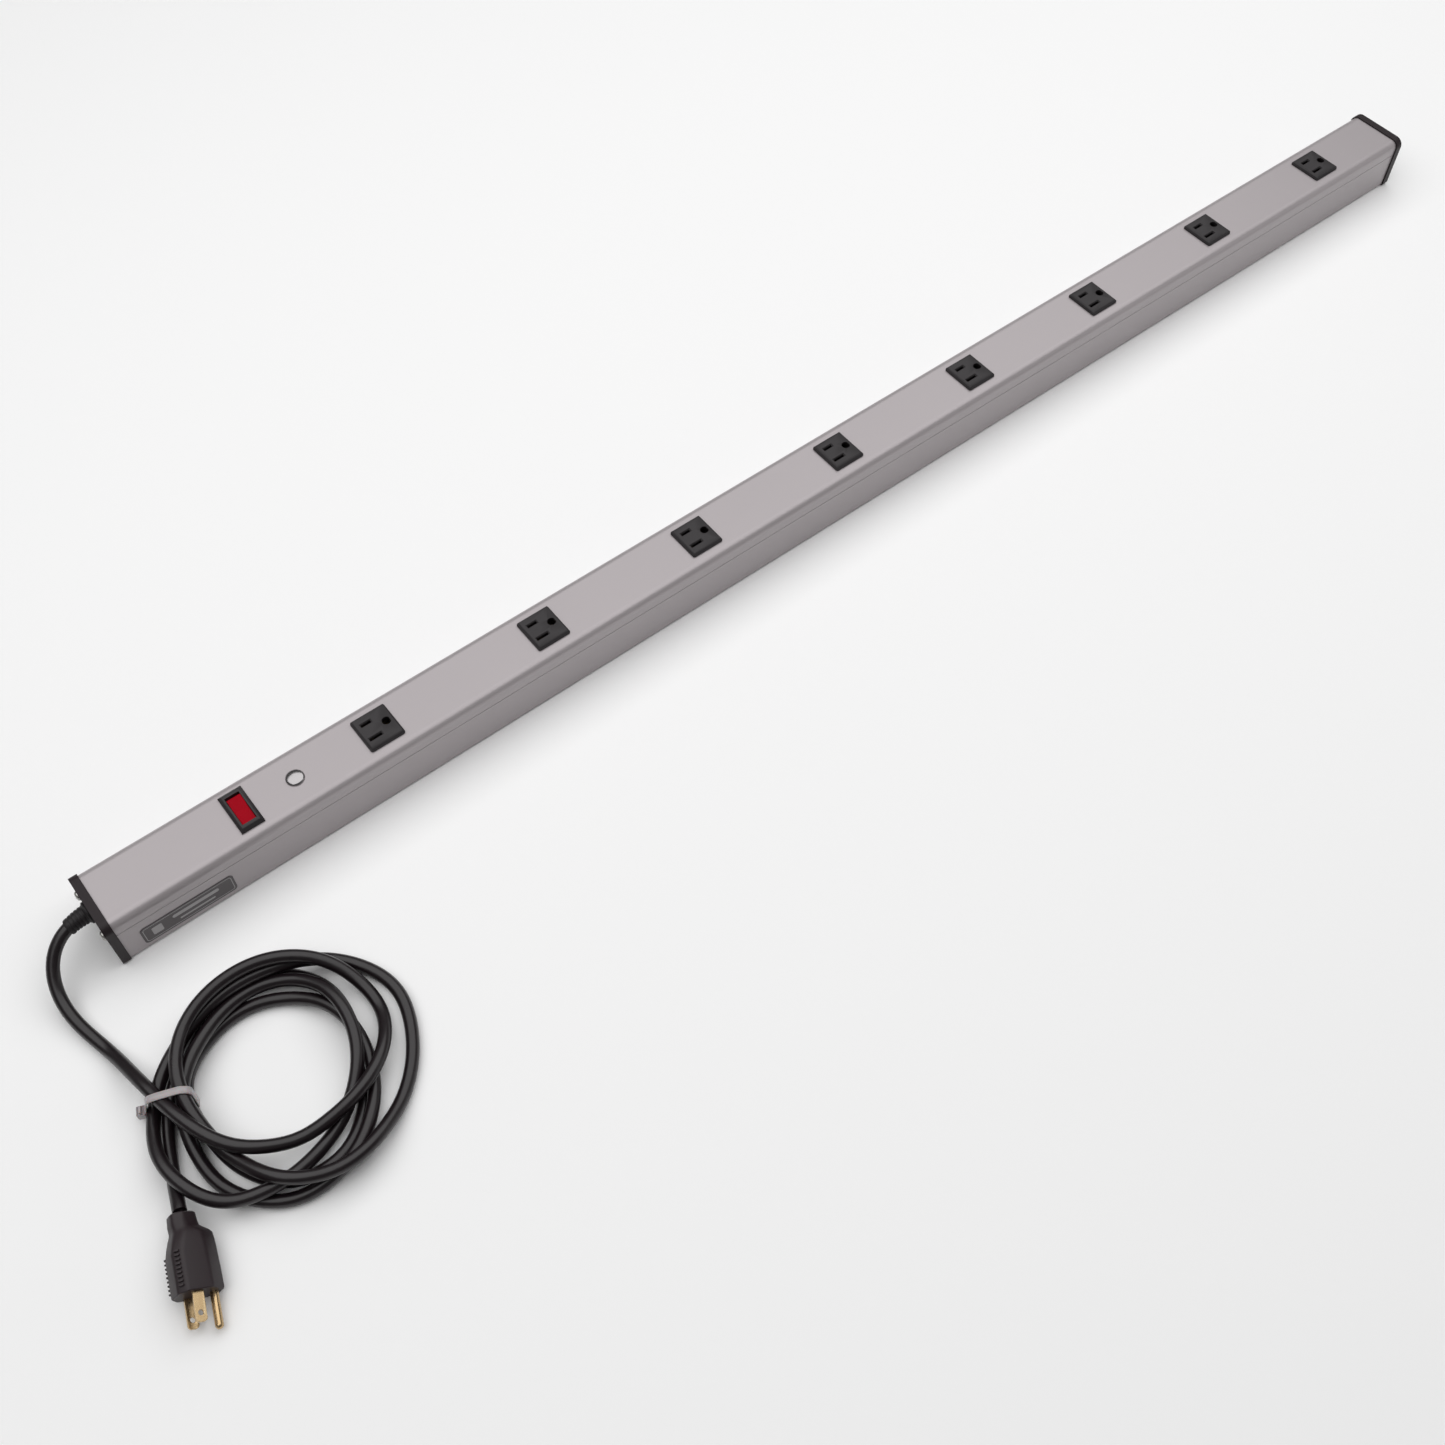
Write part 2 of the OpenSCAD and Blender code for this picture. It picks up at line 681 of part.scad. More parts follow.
// Frame of the tie: X out from the coil's centre, Y along the cord
module at_tie() {
    translate([coil_x + tie_dist * cos(tie_angle), coil_y + tie_dist * sin(tie_angle), 0])
        rotate([0, 0, tie_angle]) children();
}

module cable_tie() {
    color("ivory") at_tie() {
        translate([0, 0, tie_t + bundle_h / 2]) along_y(-tie_w / 2, tie_w / 2) difference() {
            round_rect(bundle_w + 2 * tie_t, bundle_h + 2 * tie_t, bundle_r);
            round_rect(bundle_w, bundle_h, bundle_r - tie_t);
        }
        // the head and the cut end of the tail
        translate([bundle_w / 2, 0, head_low]) {
            block(tie_t - eps, 6.4, -3.6, 3.6, 0, 6);
            block(2.4, 2.4 + tie_t, -tie_w / 2, tie_w / 2, 6 - eps, 9);
        }
    }
}

// ---- plug ----

module at_plug() {
    translate(plug_at) rotate(plug_turn) children();
}

// Face of the plug in Y (towards the ground pin) and Z
module plug_outline() {
    polygon([[-10.5, -5.5], [-6, -9.6], [8, -10.5], [16.5, -4.7],
        [16.5, 4.7], [8, 10.5], [-6, 9.6], [-10.5, 5.5]]);
}

module plug_body() {
    color("black") at_plug() difference() {
        union() {
            intersection() {
                along_x(back_x, 0) plug_outline();
                linear_extrude(40, center = true) polygon([[0, -12], [-22, -11], [-30, -9], [back_x, -7.4],
                    [back_x, 9], [-33, 15.4], [0, 17]]);
            }
            along_x(collar_x, back_x + 1) round_rect(collar_w, 13, 4);
            along_x(back_x - 0.5, back_x + 6) round_rect(collar_w, 15, 4);
        }
        // grip ribs on both sides of the back
        for (x = [-21 : 3 : -6], s = [-1, 1])
            block(x, x + 1.2, -13, -7.2, s * 8.4 - 2.6, s * 8.4 + 2.6);
        translate([collar_x - 1, 0, 0]) rotate([0, 90, 0]) cylinder(d = cord_d, h = 6);
        for (s = [-1, 1]) block(-12, 1, -3.2, 3.2, s * blade_gap / 2 - 0.78, s * blade_gap / 2 + 0.78);
        translate([-12, pin_offset, 0]) rotate([0, 90, 0]) cylinder(r = 2.4, h = 14);
    }
}

// Flat blade with a round tip and a round hole
module blade(s) {
    color("gold") at_plug() translate([0, 0, s * blade_gap / 2]) difference() {
        union() {
            block(-buried, blade_len - 2.2, -3.175, 3.175, -0.75, 0.75);
            block(blade_len - 4, blade_len, -1, 1, -0.75, 0.75);
            for (y = [-0.975, 0.975]) translate([blade_len - 2.2, y, -0.75]) cylinder(r = 2.2, h = 1.5);
        }
        translate([pin_offset, 0, -2]) cylinder(r = 1.6, h = 4);
    }
}
module hot_blade() {
    blade(1);
}
module neutral_blade() {
    blade(-1);
}

module plug_ground_pin() {
    color("gold") at_plug() translate([0, pin_offset, 0]) {
        translate([-buried, 0, 0]) rotate([0, 90, 0]) cylinder(r = pin_r, h = buried + pin_len - pin_r);
        translate([pin_len - pin_r, 0, 0]) sphere(pin_r);
    }
}

base_channel();
top_cover();
cord_end_cap();
far_end_cap();
end_cap_screws();
receptacle(0);  // receptacle_1
receptacle(1);  // receptacle_2
receptacle(2);  // receptacle_3
receptacle(3);  // receptacle_4
receptacle(4);  // receptacle_5
receptacle(5);  // receptacle_6
receptacle(6);  // receptacle_7
receptacle(7);  // receptacle_8
receptacle_backs();
hot_bus();
neutral_bus();
ground_bus();
insulating_liner();
switch_housing();
rocker();
plunger();
plunger_spring();
indicator_lamp();
contact_arm();
switch_terminals();
hole_plug();
label_plate();
ground_screw();
ground_lug();
line_wire();
load_wire();
neutral_wire();
ground_wire();
ground_jumper();
strain_relief();
cord_lead();
cord_coil();
plug_lead();
cable_tie();
plug_body();
hot_blade();
neutral_blade();
plug_ground_pin();
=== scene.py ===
import json
import math

import bmesh
import bpy
import numpy as np
from mathutils import Matrix, Vector


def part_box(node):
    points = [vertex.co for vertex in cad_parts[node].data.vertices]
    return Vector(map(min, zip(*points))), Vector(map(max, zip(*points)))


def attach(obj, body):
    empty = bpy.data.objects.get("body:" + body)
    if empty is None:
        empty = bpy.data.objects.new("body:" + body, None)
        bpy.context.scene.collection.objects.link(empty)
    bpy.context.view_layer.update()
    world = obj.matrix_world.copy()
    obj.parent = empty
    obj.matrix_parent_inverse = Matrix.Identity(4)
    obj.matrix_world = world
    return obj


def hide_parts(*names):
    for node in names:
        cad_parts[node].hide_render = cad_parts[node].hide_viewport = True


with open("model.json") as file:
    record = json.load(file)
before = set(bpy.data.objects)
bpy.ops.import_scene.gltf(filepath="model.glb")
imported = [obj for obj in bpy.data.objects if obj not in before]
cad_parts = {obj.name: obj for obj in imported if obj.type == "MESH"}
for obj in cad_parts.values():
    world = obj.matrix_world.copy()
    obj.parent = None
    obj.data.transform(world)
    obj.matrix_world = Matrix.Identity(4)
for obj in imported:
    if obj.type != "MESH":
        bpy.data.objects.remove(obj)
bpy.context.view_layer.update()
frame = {"nodes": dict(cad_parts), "record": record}

MM = 0.001
MOUNTS = {m["name"]: m for m in frame["record"]["mounts"]}


# ---- camera ----

def make_camera():
    """The photograph's view: high over the cord end, looking along the bar."""
    data = bpy.data.cameras.new("camera")
    camera = bpy.data.objects.new("camera", data)
    bpy.context.scene.collection.objects.link(camera)
    data.sensor_width = 36
    data.lens = 41.3
    data.clip_start = 0.05
    data.clip_end = 20
    camera.location = (-0.5916, -0.6111, 0.9525)
    camera.rotation_euler = (math.radians(90 - 56.39), 0, math.radians(-38.1))
    bpy.context.scene.camera = camera


make_camera()


# ---- small geometry helpers ----

def new_piece(name, mesh, slot_name, body, material, *stands_for):
    """Links a mesh or curve as a piece that rides on a body and may stand for CAD nodes."""
    piece = bpy.data.objects.new(name, mesh)
    bpy.context.scene.collection.objects.link(piece)
    mesh.materials.append(material)
    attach(piece, body)
    if stands_for:
        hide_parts(*stands_for)
    return piece


def mesh_from(name, bm, sharp_angle=35):
    """Turns a bmesh into a smooth-shaded mesh whose creases above sharp_angle stay sharp."""
    bmesh.ops.recalc_face_normals(bm, faces=bm.faces)
    mesh = bpy.data.meshes.new(name)
    bm.to_mesh(mesh)
    bm.free()
    mesh.shade_smooth()
    mesh.set_sharp_from_angle(angle=math.radians(sharp_angle))
    return mesh


def bevel_by_angle(bm, width, segments, angle=30):
    """Rounds every edge that turns by more than angle."""
    edges = [e for e in bm.edges if len(e.link_faces) == 2
             and e.calc_face_angle(0) > math.radians(angle)]
    bmesh.ops.bevel(bm, geom=edges, offset=width, segments=segments, profile=0.6,
                    affect="EDGES", clamp_overlap=True)


def flatten_wide_faces(mesh):
    """Shades the broad faces flat, so only the rounded edges between them are smooth."""
    for face in mesh.polygons:
        sides = [(mesh.vertices[a].co - mesh.vertices[b].co).length for a, b in face.edge_keys]
        face.use_smooth = face.area < 2 * MM * max(sides)


def refined(node, slot_name, material, width, segments=2, body="housing"):
    """A finer copy of a CAD node that stands for it, its facets joined and its edges rounded by width.

    A width of 0 leaves the edges as they are.
    """
    bm = bmesh.new()
    bm.from_mesh(frame["nodes"][node].data)
    bmesh.ops.remove_doubles(bm, verts=bm.verts, dist=1e-6)
    bmesh.ops.dissolve_limit(bm, angle_limit=math.radians(0.5), verts=bm.verts, edges=bm.edges)
    if width:
        bevel_by_angle(bm, width, segments)
    mesh = mesh_from(node + "_shell", bm)
    flatten_wide_faces(mesh)
    return new_piece(node + "_shell", mesh, slot_name, body, material, node)


def lathe(profile, steps, matrix):
    """A closed surface of revolution about local Z from (radius, height) pairs.

    The first and the last height get one point on the axis where their radius is zero.
    """
    bm = bmesh.new()
    rings = []
    for radius, height in profile:
        if radius < 1e-7:
            rings.append([bm.verts.new((0, 0, height))])
        else:
            rings.append([bm.verts.new((radius * math.cos(2 * math.pi * k / steps),
                                        radius * math.sin(2 * math.pi * k / steps), height))
                          for k in range(steps)])
    for low, high in zip(rings, rings[1:]):
        for k in range(steps):
            after = (k + 1) % steps
            if len(low) == 1:
                bm.faces.new((low[0], high[after], high[k]))
            elif len(high) == 1:
                bm.faces.new((low[k], low[after], high[0]))
            else:
                bm.faces.new((low[k], low[after], high[after], high[k]))
    bmesh.ops.transform(bm, matrix=matrix, verts=bm.verts)
    return bm


def loft(sections, matrix):
    """A closed surface through sections, each a list of points in local space, with flat ends."""
    bm = bmesh.new()
    rings = [[bm.verts.new(p) for p in section] for section in sections]
    count = len(rings[0])
    for low, high in zip(rings, rings[1:]):
        for k in range(count):
            after = (k + 1) % count
            bm.faces.new((low[k], low[after], high[after], high[k]))
    bm.faces.new(rings[0])
    bm.faces.new(rings[-1])
    bmesh.ops.transform(bm, matrix=matrix, verts=bm.verts)
    return bm


# ---- materials ----

def procedural(name, colour, roughness, metallic=0.0, vary=0.08, rough_vary=0.08, grain=900,
               stretch=(1, 1, 1), bump=0.1, bump_mm=0.05, wear=0.0, wear_colour=(0.6, 0.6, 0.6),
               blotch=30, **sockets):
    """A Principled surface with fine grain, broad colour variation, bump and wear at its edges."""
    material = bpy.data.materials.new(name)
    material.use_nodes = True
    nodes, links = material.node_tree.nodes, material.node_tree.links
    shader = nodes["Principled BSDF"]
    shader.inputs["Metallic"].default_value = metallic
    for socket, value in sockets.items():
        shader.inputs[socket.replace("_", " ")].default_value = value

    place = nodes.new("ShaderNodeTexCoord")
    mapping = nodes.new("ShaderNodeMapping")
    mapping.inputs["Scale"].default_value = stretch
    links.new(place.outputs["Object"], mapping.inputs["Vector"])

    fine = nodes.new("ShaderNodeTexNoise")
    fine.inputs["Scale"].default_value = grain
    fine.inputs["Detail"].default_value = 4
    links.new(mapping.outputs["Vector"], fine.inputs["Vector"])
    broad = nodes.new("ShaderNodeTexNoise")
    broad.inputs["Scale"].default_value = blotch
    broad.inputs["Detail"].default_value = 3
    links.new(place.outputs["Object"], broad.inputs["Vector"])

    tone = nodes.new("ShaderNodeMix")
    tone.data_type = "RGBA"
    dark = tuple(c * (1 - vary) for c in colour)
    light = tuple(min(1, c * (1 + vary)) for c in colour)
    tone.inputs[6].default_value = (*dark, 1)
    tone.inputs[7].default_value = (*light, 1)
    both = nodes.new("ShaderNodeMath")
    both.operation = "MULTIPLY_ADD"
    both.inputs[1].default_value = 0.4
    links.new(fine.outputs["Fac"], both.inputs[0])
    half = nodes.new("ShaderNodeMath")
    half.operation = "MULTIPLY"
    half.inputs[1].default_value = 0.6
    links.new(broad.outputs["Fac"], half.inputs[0])
    links.new(half.outputs[0], both.inputs[2])
    links.new(both.outputs[0], tone.inputs[0])
    colour_out = tone.outputs[2]

    if wear:
        geometry = nodes.new("ShaderNodeNewGeometry")
        edge = nodes.new("ShaderNodeMapRange")
        edge.inputs["From Min"].default_value = 0.52
        edge.inputs["From Max"].default_value = 0.62
        edge.inputs["To Max"].default_value = wear
        links.new(geometry.outputs["Pointiness"], edge.inputs["Value"])
        worn = nodes.new("ShaderNodeMix")
        worn.data_type = "RGBA"
        worn.inputs[7].default_value = (*wear_colour, 1)
        links.new(edge.outputs["Result"], worn.inputs[0])
        links.new(colour_out, worn.inputs[6])
        colour_out = worn.outputs[2]
    links.new(colour_out, shader.inputs["Base Color"])

    gloss = nodes.new("ShaderNodeMapRange")
    gloss.inputs["To Min"].default_value = max(0.02, roughness - rough_vary)
    gloss.inputs["To Max"].default_value = min(1, roughness + rough_vary)
    links.new(fine.outputs["Fac"], gloss.inputs["Value"])
    links.new(gloss.outputs["Result"], shader.inputs["Roughness"])

    relief = nodes.new("ShaderNodeBump")
    relief.inputs["Strength"].default_value = bump
    relief.inputs["Distance"].default_value = bump_mm * MM
    links.new(fine.outputs["Fac"], relief.inputs["Height"])
    links.new(relief.outputs["Normal"], shader.inputs["Normal"])
    return material


ALUMINIUM = procedural("satin_aluminium", (0.405, 0.372, 0.382), 0.36, metallic=0.3, vary=0.03,
                       rough_vary=0.05, grain=1400, stretch=(0.03, 1, 1), bump=0.25, bump_mm=0.02,
                       blotch=12)
CAP_PLASTIC = procedural("cap_plastic", (0.016, 0.010, 0.012), 0.5, vary=0.2, grain=1600, bump=0.3,
                         wear=0.25, wear_colour=(0.06, 0.055, 0.055), Specular_IOR_Level=0.3)
OUTLET_PLASTIC = procedural("outlet_plastic", (0.016, 0.013, 0.0145), 0.52, vary=0.2, grain=2200,
                            bump=0.35, wear=0.3, wear_colour=(0.07, 0.065, 0.068),
                            Specular_IOR_Level=0.35)
INNER_PLASTIC = procedural("inner_plastic", (0.05, 0.05, 0.05), 0.6, grain=900, bump=0.3)
SWITCH_PLASTIC = procedural("switch_plastic", (0.010, 0.008, 0.009), 0.34, vary=0.2, grain=1500,
                            bump=0.12, wear=0.3, wear_colour=(0.06, 0.055, 0.058),
                            Specular_IOR_Level=0.35)
RED_LENS = procedural("red_lens", (0.36, 0.001, 0.010), 0.3, vary=0.12, grain=700, bump=0.05,
                      Specular_IOR_Level=0.04)
CHROME = procedural("chrome", (0.36, 0.345, 0.35), 0.2, metallic=1.0, vary=0.04, rough_vary=0.05,
                    grain=1200, bump=0.05)
SCREW_STEEL = procedural("screw_steel", (0.5, 0.49, 0.47), 0.3, metallic=1.0, vary=0.1, grain=1800,
                         bump=0.2, wear=0.4, wear_colour=(0.75, 0.74, 0.72))
BRASS = procedural("brass_strip", (0.75, 0.55, 0.26), 0.32, metallic=1.0, vary=0.1, grain=1600,
                   stretch=(0.2, 1, 1), bump=0.2)
PLUG_BRASS = procedural("plug_brass", (0.52, 0.37, 0.20), 0.28, metallic=1.0, vary=0.08, grain=1500,
                        bump=0.15, wear=0.4, wear_colour=(0.85, 0.70, 0.42), blotch=200)
LINER = procedural("fibre_liner", (0.55, 0.45, 0.28), 0.85, vary=0.15, grain=2500, bump=0.5)
LABEL = procedural("label_film", (0.078, 0.068, 0.071), 0.4, vary=0.1, grain=1500, bump=0.1)
LABEL_MARK = procedural("label_mark", (0.38, 0.365, 0.37), 0.45, vary=0.08, grain=1800, bump=0.1)
RUBBER = procedural("cord_rubber", (0.009, 0.0055, 0.0068), 0.3, vary=0.25, rough_vary=0.06, grain=500,
                    bump=0.22, bump_mm=0.08, blotch=45, Specular_IOR_Level=0.5)
RELIEF_RUBBER = procedural("relief_rubber", (0.011, 0.009, 0.010), 0.5, vary=0.2, grain=1500, bump=0.3,
                           Specular_IOR_Level=0.35)
PLUG_RUBBER = procedural("plug_rubber", (0.019, 0.011, 0.0135), 0.45, vary=0.2, grain=1500, bump=0.35,
                         wear=0.2, wear_colour=(0.06, 0.052, 0.056), Specular_IOR_Level=0.38)
NYLON = procedural("tie_nylon", (0.42, 0.385, 0.39), 0.32, vary=0.05, grain=600, bump=0.1,
                   Subsurface_Weight=0.25, Subsurface_Scale=0.002)
WHITE_NYLON = procedural("white_nylon", (0.8, 0.79, 0.75), 0.45, grain=1200, bump=0.15)
SPRING = procedural("spring_steel", (0.55, 0.55, 0.56), 0.25, metallic=1.0, grain=2000, bump=0.1)
LAMP = procedural("lamp_glass", (1.0, 0.7, 0.5), 0.08, grain=300, bump=0.02, Transmission_Weight=0.8)
GREEN_METAL = procedural("green_screw", (0.05, 0.36, 0.12), 0.35, metallic=0.6, grain=1500, bump=0.2)
BLACK_WIRE = procedural("black_wire", (0.02, 0.02, 0.02), 0.4, grain=900, bump=0.1)
WHITE_WIRE = procedural("white_wire", (0.75, 0.75, 0.72), 0.4, grain=900, bump=0.1)
GREEN_WIRE = procedural("green_wire", (0.03, 0.30, 0.09), 0.4, grain=900, bump=0.1)


# ---- cord ----

CORD_D = 8.4             # all lengths here are in mm
# the lead's route from inside the housing to the tied coil, and the short lead to the plug
LEAD_ROUTE = [(-598, 0, 34), (-606, 0, 34), (-614, 0, 34), (-622, -0.2, 33.4), (-629, -1.4, 31.4),
              (-635.8, -4, 28.2), (-641.8, -8.4, 24.2), (-646.4, -14.2, 19.8), (-649.4, -21, 15.4),
              (-650.8, -28, 11.6), (-651.2, -37, 8.4), (-650, -47, 6.2), (-647.6, -57.6, 5),
              (-645, -68, 4.6), (-642.2, -79, 4.6), (-639.6, -90, 4.8), (-637, -101, 5)]
PLUG_ROUTE = [(-638, -140, 4.4), (-643, -152, 5.6), (-649, -170, 9), (-651, -176, 10.4),
              (-653, -184, 13), (-654.6, -191, 15.4), (-656, -196.5, 16.6)]
# the coil's middle, and the tie's direction and distance from it
COIL = np.array([-568.0, -152.0])
TIE_ANGLE = math.radians(155)
TIE_DIST = 65
# where each pass lies in the tie: its distance outwards from the tie's middle, and its height
PASSES = [(8.8, 14), (-8.2, 20), (8.8, 5.5), (-8.2, 12), (-8.2, 5.5), (0.4, 5.5)]
# each turn's mean radius, then how far, and towards which degree round from the tie, it is shifted,
# stretched into an oval and pulled out to three corners
TURNS = [
    (60, [(11, -93), (4, 31), (0, 0)]),
    (69, [(12, -170), (1, -24), (5, -18)]),
    (60, [(13, 32), (10, 56), (4, 41)]),
    (59, [(13, 80), (5, -87), (1, -32)]),
    (59, [(4, -20), (9, -77), (2, -12)]),
]
TURN_POINTS = 12
STEP = 2.0
# softening of the route in plan, the tightest hump and the softening of its feet, and where the lead
# lies down
PLAN_SOFT = 12
HUMP_BEND = 48
HUMP_SOFT = 9
LAID_Y = -55
LAID_OVER = 30
JOIN = 30                # how many points of the next stretch a hump takes into account


def run_length(points):
    return np.concatenate([[0], np.cumsum(np.linalg.norm(np.diff(points, axis=0), axis=1))])


def blurred(values, sigma):
    """Gaussian average of a row of values, its ends held."""
    reach = int(3 * sigma) + 1
    kernel = np.exp(-0.5 * (np.arange(-reach, reach + 1) / sigma) ** 2)
    kernel /= kernel.sum()
    return np.convolve(np.pad(values, reach, mode="edge"), kernel, mode="valid")


def catmull_rom(points, steps=24):
    """A smooth line through points."""
    p = np.vstack([2 * points[0] - points[1], points, 2 * points[-1] - points[-2]])
    t = np.linspace(0, 1, steps, endpoint=False)[:, None]
    parts = []
    for a, b, c, d in zip(p, p[1:], p[2:], p[3:]):
        parts.append(0.5 * (2 * b + (c - a) * t + (2 * a - 5 * b + 4 * c - d) * t ** 2
                            + (3 * b - a - 3 * c + d) * t ** 3))
    return np.vstack(parts + [points[-1:]])


def turn_point(mean, pulls, degrees):
    """The point of a loosely wound turn at that many degrees round from the tie."""
    radius = mean + sum(size * math.cos(k * math.radians(degrees - towards))
                        for k, (size, towards) in enumerate(pulls, 1))
    angle = TIE_ANGLE + math.radians(degrees)
    return COIL + radius * np.array([math.cos(angle), math.sin(angle)])


def cord_plan():
    """The cord's points as x, y, the height that is known, and the number of the stretch it belongs to."""
    out = np.array([math.cos(TIE_ANGLE), math.sin(TIE_ANGLE)])
    plan = [(x, y, z, 0) for x, y, z in LEAD_ROUTE[:-2]]
    for turn, (side, height) in enumerate(PASSES):
        plan.append((*(COIL + (TIE_DIST + side) * out), height, turn + 0.5))
        if turn < len(TURNS):
            for k in range(1, TURN_POINTS):
                plan.append((*turn_point(*TURNS[turn], 360 * k / TURN_POINTS), CORD_D / 2, turn + 1))
    plan += [(x, y, z, len(PASSES)) for x, y, z in PLUG_ROUTE]
    return np.array(plan, float)


def humped(need, bend, soft):
    """The lowest line over the needed heights that bends no tighter than bend, with its feet softened."""
    reach = int(math.sqrt(2 * bend * (need.max() - CORD_D / 2 + 0.1)) / STEP) + 1
    padded = np.pad(need, reach, mode="edge")
    drop = [(k * STEP) ** 2 / (2 * bend) for k in range(-reach, reach + 1)]
    arch = np.max([padded[k:k + len(need)] - drop[k] for k in range(2 * reach + 1)], axis=0)
    return blurred(np.maximum(arch, CORD_D / 2), soft / STEP)


def cord_line():
    """The cord's centreline in mm, each stretch laid over those nearer to the plug in long low humps."""
    plan = cord_plan()
    rows = catmull_rom(plan)
    at = run_length(rows[:, :2])
    even = np.arange(0, at[-1], STEP)
    x, y, known, stretch = (np.interp(even, at, rows[:, k]) for k in range(4))
    smooth = [blurred(2 * v - blurred(v, PLAN_SOFT / STEP), PLAN_SOFT / STEP) for v in (x, y)]
    flat = np.column_stack(smooth)
    height = known.copy()
    stretch = np.round(stretch)
    for part in range(len(PASSES) - 1, -1, -1):
        mine = np.where(stretch == part)[0]
        below = np.where(stretch > part)[0]
        gap = np.linalg.norm(flat[mine][:, None] - flat[below][None], axis=2)
        apart = np.abs(mine[:, None] - below[None]) * STEP > 2.2 * CORD_D
        over = height[below][None] + np.sqrt(np.maximum(CORD_D ** 2 - gap ** 2, 0))
        need = np.maximum(known[mine], np.where((gap < CORD_D) & apart, over, 0).max(axis=1))
        joined = np.concatenate([need, height[mine[-1] + 1:mine[-1] + 1 + JOIN]])
        laid = humped(joined, HUMP_BEND, HUMP_SOFT)[:len(mine)]
        share = np.clip((LAID_Y - flat[mine][:, 1]) / LAID_OVER, 0, 1) if part == 0 else 1
        height[mine] += share * (laid - height[mine])
    height = np.maximum(blurred(height, HUMP_SOFT / STEP / 2), CORD_D / 2)
    return np.column_stack([flat, height])


def make_cord():
    line = cord_line() * MM
    curve = bpy.data.curves.new("power_cord", "CURVE")
    curve.dimensions = "3D"
    curve.bevel_depth = CORD_D / 2 * MM
    curve.bevel_resolution = 8
    curve.use_fill_caps = True
    spline = curve.splines.new("POLY")
    spline.points.add(len(line) - 1)
    spline.points.foreach_set("co", np.column_stack([line, np.ones(len(line))]).ravel())
    spline.use_smooth = True
    piece = new_piece("power_cord", curve, "cord_jacket", "housing", RUBBER,
                      "cord_lead", "cord_coil", "plug_lead")
    return piece, float(run_length(line)[-1])


power_cord, cord_length = make_cord()


# ---- strain relief and cable tie ----

RELIEF_INSIDE = 9.0      # how far the relief's shank reaches into the end cap
STRAP_W, STRAP_T, STRAP_GAP = 4.7, 1.1, 0.15
STRAP_LIFT = 0.1         # how far the strap's underside stays off the floor
STRAP_CUT = 0.25         # chamfer of the strap's edges
STRAP_AT = 6.5           # how far past the middle of the bundle's waist the strap sits
HEAD_SIZE, HEAD_Z = (5.0, 6.2, 6.6), 7.6
MOUTH_RIM, MOUTH_DEPTH = 1.2, 1.4
HEAD_ROUND = 0.6
TAIL_LENGTH = 4


def make_strain_relief(line):
    """A tapered sleeve with flexing grooves round it, which bends with the cord's first stretch."""
    low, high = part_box("strain_relief")
    front = (high.x - low.x) / MM - RELIEF_INSIDE
    profile = [(-RELIEF_INSIDE, 5.0), (1.2 - RELIEF_INSIDE, 6.0), (-0.2, 6.0), (0, 7.3), (0.4, 7.6),
               (1.2, 7.6), (1.6, 7.2), (1.9, 6.5)]
    grooves = 5
    for k in range(grooves):
        near = 2.4 + k * (front - 3.6) / grooves
        radius = 6.4 - 1.1 * near / front
        profile += [(near, radius), (near + 0.35, radius - 0.35), (near + 0.9, radius - 0.35),
                    (near + 1.2, radius - 0.12)]
    profile += [(front - 0.7, 5.4), (front - 0.15, 5.15), (front, 4.9), (front, 4.25), (front - 1.5, 4.2)]
    start = high.x / MM - RELIEF_INSIDE
    nearest = line[:60][::-1]
    steps = 48
    sections = []
    for along, radius in profile:
        x = start - along
        y, z = (np.interp(x, nearest[:, 0], nearest[:, k]) for k in (1, 2))
        tilt = np.interp(x - 1, nearest[:, 0], nearest[:, 2]) - z
        sections.append([((x + radius * math.sin(a) * tilt) * MM, (y + radius * math.cos(a)) * MM,
                          (z + radius * math.sin(a)) * MM)
                         for a in (2 * math.pi * k / steps for k in range(steps))])
    bm = loft(sections, Matrix.Identity(4))
    return new_piece("strain_relief_sleeve", mesh_from("strain_relief_sleeve", bm), "strain_rubber",
                     "housing", RELIEF_RUBBER, "strain_relief")


def hull_2d(points):
    """The convex outline of points, anticlockwise."""
    points = sorted(map(tuple, points))
    def chain(row):
        out = []
        for p in row:
            while len(out) > 1 and ((out[-1][0] - out[-2][0]) * (p[1] - out[-2][1])
                                    - (out[-1][1] - out[-2][1]) * (p[0] - out[-2][0])) <= 0:
                out.pop()
            out.append(p)
        return out[:-1]
    return np.array(chain(points) + chain(points[::-1]))


